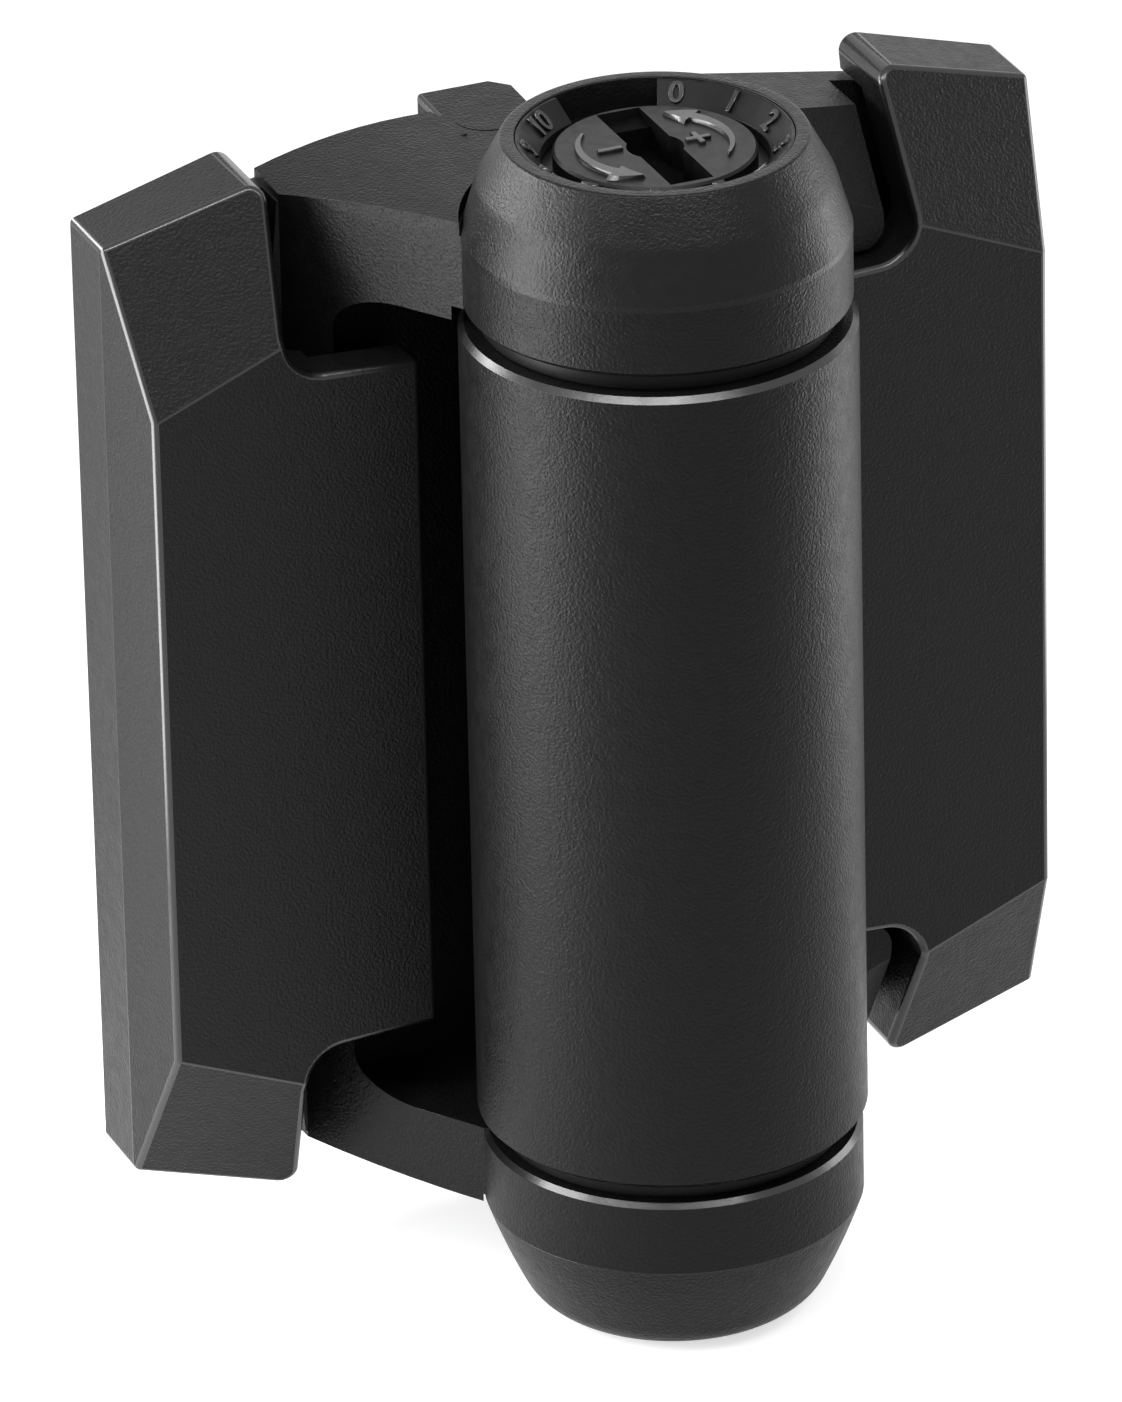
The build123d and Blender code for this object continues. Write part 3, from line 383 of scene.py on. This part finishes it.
# Covers. Thin faceted shells of unfilled black nylon snap over the screws of each leaf. Their mould
# has a finer grain than the leaves', so they look a little smoother.
cover_nylon = pebbled_nylon("moulded_nylon_fine_grain", "0f0f10", 0.40, 0.38, 0.15, 0.15, "141415")
rounded_moulding("post_cover", "post_leaf", 0.3, cover_nylon, edge_nylon)
rounded_moulding("gate_cover", "gate_leaf", 0.3, cover_nylon, edge_nylon)

# Caps. The two end caps are round mouldings of the same filled nylon as the leaves. The upper one's
# grain glitters most, as its cone faces the light. Their spigots are screwed into the knuckles.
def rounded_outline(corners):
    """Closed outline through (radius, height, round) corners in mm, with each corner as an arc.

    An arc starts and ends at round * tan(turn / 2) from its corner. Its centre lies on the corner's
    bisector, and its points turn evenly from the first radius to the second.
    """
    pieces = []
    for i, (radius, height, round_radius) in enumerate(corners):
        corner = np.array((radius, height))
        inward = corner - np.array(corners[i - 1][:2])
        outward = np.array(corners[(i + 1) % len(corners)][:2]) - corner
        inward = inward / np.linalg.norm(inward)
        outward = outward / np.linalg.norm(outward)
        turn = np.arccos(np.clip(inward @ outward, -1, 1))
        if round_radius == 0:
            pieces.append(corner[None])
            continue
        reach = round_radius * np.tan(turn / 2)
        bisector = (outward - inward) / np.linalg.norm(outward - inward)
        centre = corner + bisector * round_radius / np.cos(turn / 2)
        first = corner - inward * reach - centre
        last = corner + outward * reach - centre
        t = np.linspace(0, 1, 9)[:, None]
        arc = np.sin((1 - t) * turn) * first + np.sin(t * turn) * last
        pieces.append(centre + arc / np.sin(turn))
    return np.vstack(pieces)


def surface(name, points, material, close_rows=False, close_columns=False):
    """Mesh over a grid of points in mm. Either way of the grid may close on itself.

    Each cell of the grid becomes a face, and points that fall together at a pole are merged.
    """
    rows, columns = points.shape[:2]
    index = np.arange(rows * columns).reshape(rows, columns)
    if close_rows:
        index = np.vstack([index, index[:1]])
    if close_columns:
        index = np.hstack([index, index[:, :1]])
    corners = [index[:-1, :-1], index[:-1, 1:], index[1:, 1:], index[1:, :-1]]
    quads = np.stack(corners, axis=-1).reshape(-1, 4)
    mesh = bpy.data.meshes.new(name)
    mesh.from_pydata((points.reshape(-1, 3) * MM).tolist(), [], quads.tolist())
    form = bmesh.new()
    form.from_mesh(mesh)
    bmesh.ops.remove_doubles(form, verts=form.verts, dist=0.001 * MM)
    bmesh.ops.recalc_face_normals(form, faces=form.faces)
    form.to_mesh(mesh)
    form.free()
    mesh.shade_smooth()
    mesh.set_sharp_from_angle(angle=radians(35))
    mesh.materials.append(material)
    return add_object(name, mesh)


def turned(name, outline, material):
    """Surface of revolution about the pivot: an outline point at radius r goes round a circle."""
    angle = np.linspace(0, 2 * pi, 180, endpoint=False)
    radius, height = outline[:, :1], outline[:, 1:]
    points = np.stack(
        [radius * np.cos(angle), radius * np.sin(angle), height + 0 * angle], axis=-1
    )
    return surface(name, points, material, close_rows=True, close_columns=True)


# A skin a little glossier than the leaves', which sparkles where the cone turns to the light.
cap_nylon = pebbled_nylon("glass_filled_nylon_coarse_grain", "0b0b0c", 0.33, 0.36, 0.10, 0.18)
cap_low, cap_high = (Vector(corner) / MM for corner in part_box("upper_cap"))
ring_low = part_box("face_ring")[0] / MM
cap_shoulder = cap_high.z - 11.8
rim_radius = 18.05
cone_bend_radius = 21.1
cone_bend_drop = 5.6
spigot_bore = 15.6
spigot_radius = 19.2
web_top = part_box("indicator_ring")[0].z / MM - 2.1
web_bottom = web_top - 1.4
dial_hole = 12.35
seat_radius = 16.4
ledge_radius = seat_radius - 0.65
skirt_radius = cap_high.x + 0.03
skirt_inner = cap_high.x - 0.5
skirt_top = cap_shoulder - 0.2
skirt_bottom = cap_shoulder - 0.8
upper_cap_outline = rounded_outline([
    (skirt_radius, cap_shoulder, 0.8),
    (cone_bend_radius, cap_high.z - cone_bend_drop, 6.0),
    (rim_radius, cap_high.z, 0.45),
    (seat_radius, cap_high.z, 0.2),
    (seat_radius, ring_low.z, 0),
    (ledge_radius, ring_low.z, 0),
    (ledge_radius, web_top, 0),
    (dial_hole, web_top, 0),
    (dial_hole, web_bottom, 0),
    (spigot_bore, web_bottom, 0),
    (spigot_bore, cap_low.z, 0),
    (spigot_radius, cap_low.z, 0.3),
    (spigot_radius, skirt_top, 0),
    (skirt_inner, skirt_top, 0),
    (skirt_inner, skirt_bottom, 0),
    (skirt_radius, skirt_bottom, 0),
])
upper_cap = turned("upper_cap_moulding", upper_cap_outline, cap_nylon)
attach(upper_cap, "post_leaf")
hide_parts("upper_cap")
rounded_moulding("lower_cap", "post_leaf", 0.35, leaf_nylon, edge_nylon)

# Dial and face ring. Both are moulded in black acetal. A screwdriver in the slot presses the dial
# down and turns it, the arrows and signs on it are raised, and so are the ring's plain numbers.
dial_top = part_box("tension_dial")[1].z / MM
# A polished mould leaves an even satin, smoother than the leaves.
acetal = pebbled_nylon("black_acetal_satin", "101011", 0.36, 0.3, 0.01, 0.16)
dial = rounded_moulding("tension_dial", "tension_dial", 0.12, acetal, edge_nylon)
# Painted shade: the slot's walls and floor get a near-black matt colour that stands in for the
# shade down in the slot, so the slot reads as black.
slot_painted_shade = pebbled_nylon("slot_walls_painted_shade", "020202", 0.6, 0.3, 0.01, 0.02)
slot_reach, slot_depth = 10.5, 0.2
dial.data.materials.append(slot_painted_shade)
centre = np.empty((len(dial.data.polygons), 3))
dial.data.polygons.foreach_get("center", centre.ravel())
centre /= MM
# Faces deeper than the slot depth under the dial's top and within the slot's reach get the painted
# shade.
low = dial_top - centre[:, 2] > slot_depth
shaded_slot_faces = low & (np.hypot(centre[:, 0], centre[:, 1]) < slot_reach)
dial.data.polygons.foreach_set("material_index", np.where(shaded_slot_faces, 2, 0).astype(np.int32))
rounded_moulding("face_ring", "post_leaf", 0.12, acetal, acetal)


def turn_arrow(name, tail_angle, head_angle):
    """Raised arrow on the dial, bent round its centre, pointing anticlockwise. Angles in degrees.

    Its half width is a function of the way along it: it swells from the tail, steps out to the
    head's width and runs down to nothing at the tip. Its section has sloping sides and a flat top.
    """
    radius, rise, head_length = 9.0, 0.45, 24.0
    shaft_steps, head_steps = 30, 12
    neck_angle = head_angle - head_length
    along = np.concatenate([
        np.linspace(tail_angle, neck_angle, shaft_steps),
        np.linspace(neck_angle, head_angle, head_steps),
    ])
    width = np.concatenate([
        np.linspace(0.2, 0.95, shaft_steps), np.linspace(2.1, 0.02, head_steps),
    ])
    width[0] = width[-1] = 0
    across = np.array([-1, -0.75, 0.75, 1, 1, -1])
    lift = np.array([0, 1, 1, 0, -0.5, -0.5]) * rise
    r = radius + width[:, None] * across
    a = np.radians(along)[:, None]
    z = dial_top + lift * np.minimum(1, width[:, None] / 0.2)
    points = np.stack([r * np.cos(a), r * np.sin(a), z], axis=-1)
    return surface(name, points, edge_nylon, close_columns=True)


for name, tail_angle, head_angle in (("arrow_right", -44, 62), ("arrow_left", 134, 240)):
    arrow = turn_arrow(name, tail_angle, head_angle)
    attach(arrow, "tension_dial")


def raised_text(name, words, size, place, material):
    """Raised characters on a face of the hinge.

    They are made as a flat mesh with sloping sides, and the function place moves its points, an
    array of (along, up, out) in mm, to where they belong.
    """
    text = bpy.data.curves.new(name, "FONT")
    text.body = words
    text.size = size
    text.align_x = "CENTER"
    text.align_y = "CENTER"
    text.extrude = 0.3
    text.offset = 0.03
    text.bevel_depth = 0.08
    text.bevel_resolution = 1
    text.resolution_u = 4
    flat = add_object(name + "_flat", text)
    bpy.context.view_layer.update()
    mesh = bpy.data.meshes.new_from_object(flat)
    bpy.data.objects.remove(flat)
    points = np.empty(len(mesh.vertices) * 3)
    mesh.vertices.foreach_get("co", points)
    points = place(points.reshape(-1, 3)) * MM
    mesh.vertices.foreach_set("co", points.ravel())
    form = bmesh.new()
    form.from_mesh(mesh)
    bmesh.ops.remove_doubles(form, verts=form.verts, dist=0.001 * MM)
    bmesh.ops.recalc_face_normals(form, faces=form.faces)
    form.to_mesh(mesh)
    form.free()
    mesh.name = name
    mesh.materials.clear()
    mesh.materials.append(material)
    return add_object(name, mesh)


band_inner, band_outer, band_fall = 13.4, 15.95, 2.5
band_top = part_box("face_ring")[1].z / MM
band_slope = np.arctan2(band_fall, band_outer - band_inner)


def on_band(angle):
    """Returns the function that lays points on the sloping band, centred at an angle in degrees.

    The way along turns clockwise round the pivot, the way up climbs the slope outwards, and the way
    out stands square on the slope.
    """
    middle = (band_inner + band_outer) / 2

    def place(points):
        along, rise, out = points.T
        radius = middle + rise * np.cos(band_slope) - out * np.sin(band_slope)
        height = band_top - band_fall / 2 + rise * np.sin(band_slope) + out * np.cos(band_slope)
        around = radians(angle) - along / middle
        return np.stack([radius * np.cos(around), radius * np.sin(around), height], axis=-1)

    return place


scale_steps, scale_size = 11, 3.8
scale_start, scale_pitch = 57.0, 28.4
for step in range(scale_steps):
    place = on_band(scale_start - step * scale_pitch)
    numeral = raised_text(f"scale_{step}", str(step), scale_size, place, edge_nylon)
    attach(numeral, "post_leaf")


def on_dial(x, y):
    """Returns the function that lays points flat on the dial, centred at x and y."""
    return lambda points: points + np.array((x, y, dial_top))


sign_size = 6.0
for name, sign, x, y in (("plus", "+", 5.3, -0.6), ("minus", "\u2212", -5.3, 0.6)):
    mark = raised_text(name, sign, sign_size, on_dial(x, y), edge_nylon)
    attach(mark, "tension_dial")

# Indicator ring. A thin ring of black acetal, moulded in a polished tool, that turns with the dial
# and shows through the window.
rounded_moulding("indicator_ring", "tension_dial", 0.1, acetal, edge_nylon)


# Bushes and spring anchor. Black acetal from a polished mould, smoother than any outer piece,
# pressed into the barrel. The flanged bushes carry the gate, and the anchor holds the spring.
# Only the flanges show, as a dark line in the seams.
smooth_acetal = pebbled_nylon("black_acetal_smooth", "0c0c0d", 0.42, 0.9, 0.008, 0.10, "101011")
for node in ("upper_bush", "lower_bush", "spring_anchor"):
    rounded_moulding(node, "gate_leaf", 0.3, smooth_acetal, smooth_acetal)


# Driver, lock ring and pin. The driver and the toothed lock ring are sintered and case-hardened
# steel, oiled dark grey. The pivot pin is turned stainless steel with a fine feed mark.
def turned_steel(name, colour, roughness, feed, depth):
    """Steel with the marks of a turning tool: rings a feed apart along the pivot, as a bump.

    A broad noise shifts the roughness, as oil and handling do. Feed and depth are in mm.
    """
    roughness_shift = 0.06
    material, tree, shader, place = new_material(name)
    rings = add_node(
        tree, "ShaderNodeTexWave",
        {"Scale": 1 / (20 * feed * MM), "Distortion": 0.6, "Detail": 2.0}, {"Vector": place},
        wave_type="BANDS", bands_direction="Z",
    )
    smears = add_node(
        tree, "ShaderNodeTexNoise", {"Scale": 1 / (6 * MM), "Detail": 3.0}, {"Vector": place}
    )
    bump = add_node(
        tree, "ShaderNodeBump", {"Strength": 1.0, "Distance": depth * MM},
        {"Height": rings.outputs["Fac"]},
    )
    spread = add_node(
        tree, "ShaderNodeMapRange",
        {
            "From Min": 0.3, "From Max": 0.7,
            "To Min": roughness - roughness_shift, "To Max": roughness + roughness_shift,
        },
        {"Value": smears.outputs["Fac"]},
    )
    tree.links.new(spread.outputs[0], shader.inputs["Roughness"])
    tree.links.new(bump.outputs[0], shader.inputs["Normal"])
    shader.inputs["Base Color"].default_value = linear(colour)
    shader.inputs["Metallic"].default_value = 1.0
    return material


# Oil darkens the sintered steel to a soft grey, and the turned pin is bright with fine rings.
sintered_steel = turned_steel("sintered_steel_oiled", "55565a", 0.42, 0.5, 0.004)
stainless_steel = turned_steel("stainless_steel_turned", "b9bbbd", 0.24, 0.3, 0.003)
for node, body in (("spring_driver", "spring_driver"), ("lock_ring", "post_leaf")):
    rounded_moulding(node, body, 0.15, sintered_steel, sintered_steel)
rounded_moulding("pivot_pin", "post_leaf", 0.2, stainless_steel, stainless_steel)


# Springs and clip. The closing spring is coiled from square spring-steel wire and the dial spring
# from a thinner one, both blued in the oven. The clip is stamped from strip and blued as they are.
def coated_steel(name, low_colour, high_colour, roughness):
    """Coated steel: a fine noise for the metal's skin and a broad one for the coat's two tints."""
    skin_grain, skin_depth, tint_grain = 0.5 * MM, 0.01 * MM, 9 * MM
    material, tree, shader, place = new_material(name)
    skin = add_node(
        tree, "ShaderNodeTexNoise", {"Scale": 1 / skin_grain, "Detail": 2.0}, {"Vector": place}
    )
    oxide = add_node(
        tree, "ShaderNodeTexNoise", {"Scale": 1 / tint_grain, "Detail": 2.0}, {"Vector": place}
    )
    tint = add_node(
        tree, "ShaderNodeMixRGB", {"Color1": linear(low_colour), "Color2": linear(high_colour)},
        {"Fac": oxide.outputs["Fac"]},
    )
    bump = add_node(
        tree, "ShaderNodeBump", {"Strength": 1.0, "Distance": skin_depth},
        {"Height": skin.outputs["Fac"]},
    )
    tree.links.new(tint.outputs[0], shader.inputs["Base Color"])
    tree.links.new(bump.outputs[0], shader.inputs["Normal"])
    shader.inputs["Metallic"].default_value = 1.0
    shader.inputs["Roughness"].default_value = roughness
    return material


# Oven bluing gives a dark skin that shifts between blue grey and straw.
spring_steel = coated_steel("spring_steel_blued", "3a3f4a", "5a5048", 0.34)
for node in ("torsion_spring", "dial_spring", "driver_clip"):
    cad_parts[node].data.materials.clear()
    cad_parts[node].data.materials.append(spring_steel)


# Cap screws. Six thread-forming screws with a bright zinc plating hold the two caps' spigots to the
# knuckles. Each cap's three screws are one node.
# Bright plating, almost white, with a faint cloudiness.
zinc_plate = coated_steel("zinc_plate_bright", "a9adb2", "c3c4bf", 0.28)
for node in ("upper_cap_screws", "lower_cap_screws"):
    rounded_moulding(node, "post_leaf", 0.1, zinc_plate, zinc_plate)
